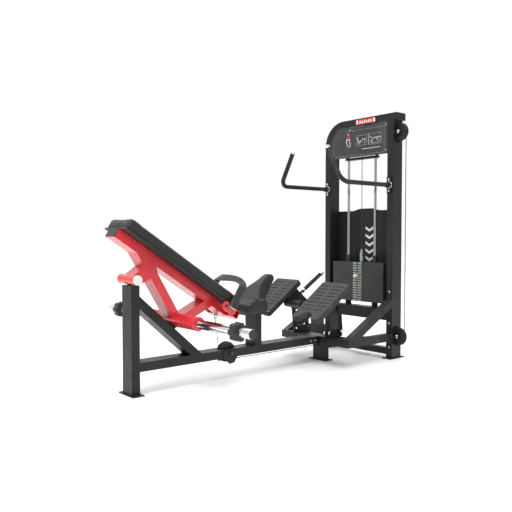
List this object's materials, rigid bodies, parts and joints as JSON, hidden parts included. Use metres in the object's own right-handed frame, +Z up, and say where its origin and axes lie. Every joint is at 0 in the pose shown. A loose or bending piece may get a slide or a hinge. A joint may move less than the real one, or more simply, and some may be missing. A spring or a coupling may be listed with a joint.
{
  "type": "hip thrust leg press machine",
  "caption": "Selectorised hip-thrust and leg press machine: hinged bench with belt and weight horns, saddle seat, two ribbed foot plates, handles and a weight-stack tower.",
  "frame": {"origin": "bottom centre of the foot plate under the head post, on the floor", "axes": "+X along the machine from the bench head to the weight-stack tower, +Z up, near side (cable side) is -Y"},
  "size_m": [2.0904, 1.43, 1.692],
  "materials": {
    "black_paint": "fine-textured satin black powder coat",
    "red_paint": "gloss red powder coat",
    "chrome": "polished chrome plate",
    "steel": "zinc-plated or turned steel",
    "stack_paint": "smooth dark grey paint",
    "vinyl": "grained dark vinyl upholstery",
    "board": "black-stained plywood",
    "rubber": "matte black rubber",
    "black_plastic": "matte black plastic",
    "white_plastic": "white nylon",
    "panel": "printed dark panel",
    "webbing": "padded black webbing",
    "cable": "grey coated steel cable"
  },
  "bodies": {
    "frame": {"base_beam": "black_paint", "base_cross_frame": "black_paint", "cable_through_frame": "cable", "foot_plates": "black_paint", "frame_bolts": "chrome", "guide_rods": "chrome", "handle_bars": "black_paint", "handle_caps": "chrome", "head_brace": "black_paint", "head_post": "black_paint", "header_plate": "red_paint", "instruction_panel": "panel", "pivot_axle": "steel", "platform_brackets": "black_paint", "pulley_axles": "steel", "pulley_brackets": "black_paint", "rear_guard": "black_paint", "resting_plates": "stack_paint", "rubber_bumpers": "rubber", "seat_pad": "vinyl", "seat_post": "black_paint", "side_braces": "black_paint", "top_beam": "black_paint", "tower_cross_tubes": "black_paint", "tower_uprights": "black_paint"},
    "bench": {"back_pad": "vinyl", "back_pad_board": "board", "bench_rail": "red_paint", "bench_struts": "red_paint", "pivot_arm": "red_paint", "pivot_tube": "red_paint", "pivot_bushes": "white_plastic", "horn_cross_tube": "red_paint", "weight_horns": "chrome", "bench_end_caps": "black_plastic", "belt_brackets": "red_paint", "bench_bolts": "chrome", "hip_belt": "webbing", "belt_buckles": "steel", "cable_lug": "steel", "cable_to_bench": "cable"},
    "near_collar": {"near_star_collar": "black_plastic"},
    "far_collar": {"far_star_collar": "black_plastic"},
    "weight_stack": {"lifted_plates": "stack_paint", "selector_stem": "chrome", "cable_to_stack": "cable"},
    "pin": {"selector_pin": "steel"},
    "top_side_wheel": {"top_side_pulley": "black_plastic"},
    "top_centre_wheel": {"top_centre_pulley": "black_plastic"},
    "bottom_side_wheel": {"bottom_side_pulley": "black_plastic"},
    "front_wheel": {"front_pulley": "black_plastic"},
    "base_wheel": {"base_pulley": "black_plastic"},
    "platform_arms": {"platform_rear_arms": "black_paint"},
    "platform_links": {"platform_front_links": "black_paint"},
    "platform": {"foot_treads": "rubber", "platform_frame": "black_paint", "platform_pivot_pins": "chrome"},
    "lever": {"release_lever": "black_paint", "lever_grip": "rubber", "lever_rings": "chrome"}
  },
  "joints": [
    {"name": "bench_lift", "type": "hinge", "parent": "frame", "child": "bench", "pos_m": [-0.008, 0, 0.621], "axis": [0, -1, 0], "range_deg": [0, 25], "deforming": ["cable_to_bench"]},
    {"name": "stack_lift", "type": "slide", "parent": "frame", "child": "weight_stack", "axis": [0, 0, 1], "range_m": [0, 0.26], "deforming": ["cable_to_stack"]},
    {"name": "top_side_pulley_spin", "type": "hinge", "parent": "frame", "child": "top_side_wheel", "pos_m": [1.889, -0.334, 1.563], "axis": [1, 0, 0], "range_deg": [-5, 295]},
    {"name": "top_centre_pulley_spin", "type": "hinge", "parent": "frame", "child": "top_centre_wheel", "pos_m": [1.889, -0.05, 1.563], "axis": [1, 0, 0], "range_deg": [-5, 295]},
    {"name": "bottom_side_pulley_spin", "type": "hinge", "parent": "frame", "child": "bottom_side_wheel", "pos_m": [1.889, -0.334, 0.155], "axis": [1, 0, 0], "range_deg": [-5, 295]},
    {"name": "front_pulley_spin", "type": "hinge", "parent": "frame", "child": "front_wheel", "pos_m": [1.839, -0.05, 0.105], "axis": [0, 0, 1], "range_deg": [-5, 295]},
    {"name": "base_pulley_spin", "type": "hinge", "parent": "frame", "child": "base_wheel", "pos_m": [0.64, 0, 0.155], "axis": [0, 1, 0], "range_deg": [-5, 295]},
    {"name": "pin_pull", "type": "slide", "parent": "weight_stack", "child": "pin", "axis": [-1, 0, 0], "range_m": [0, 0.07]},
    {"name": "near_collar_slide", "type": "slide", "parent": "bench", "child": "near_collar", "axis": [0, -1, 0], "range_m": [-0.28, 0.15]},
    {"name": "far_collar_slide", "type": "slide", "parent": "bench", "child": "far_collar", "axis": [0, 1, 0], "range_m": [-0.28, 0.15]},
    {"name": "platform_swing", "type": "hinge", "parent": "frame", "child": "platform_arms", "pos_m": [1.372, 0, 0.21], "axis": [0, 1, 0], "range_deg": [-15, 20]},
    {"name": "link_swing", "type": "hinge", "parent": "frame", "child": "platform_links", "pos_m": [1.49, 0, 0.21], "axis": [0, 1, 0], "range_deg": [-16, 21]},
    {"name": "platform_level", "type": "hinge", "parent": "platform_arms", "child": "platform", "pos_m": [1.355, 0, 0.365], "axis": [0, 1, 0], "range_deg": [-21, 16]},
    {"name": "lever_tilt", "type": "hinge", "parent": "platform", "child": "lever", "pos_m": [1.28, 0, 0.39], "axis": [0, 1, 0], "range_deg": [0, 15]}
  ],
  "couplings": [
    {"joint": "stack_lift", "follows": "bench_lift", "m_per_rad": 0.58},
    {"joint": "top_side_pulley_spin", "follows": "bench_lift", "ratio": 11.6},
    {"joint": "top_centre_pulley_spin", "follows": "bench_lift", "ratio": 11.6},
    {"joint": "bottom_side_pulley_spin", "follows": "bench_lift", "ratio": 11.6},
    {"joint": "front_pulley_spin", "follows": "bench_lift", "ratio": 11.6},
    {"joint": "base_pulley_spin", "follows": "bench_lift", "ratio": 11.6},
    {"joint": "link_swing", "follows": "platform_swing", "ratio": 1},
    {"joint": "platform_level", "follows": "platform_swing", "ratio": -1}
  ]
}
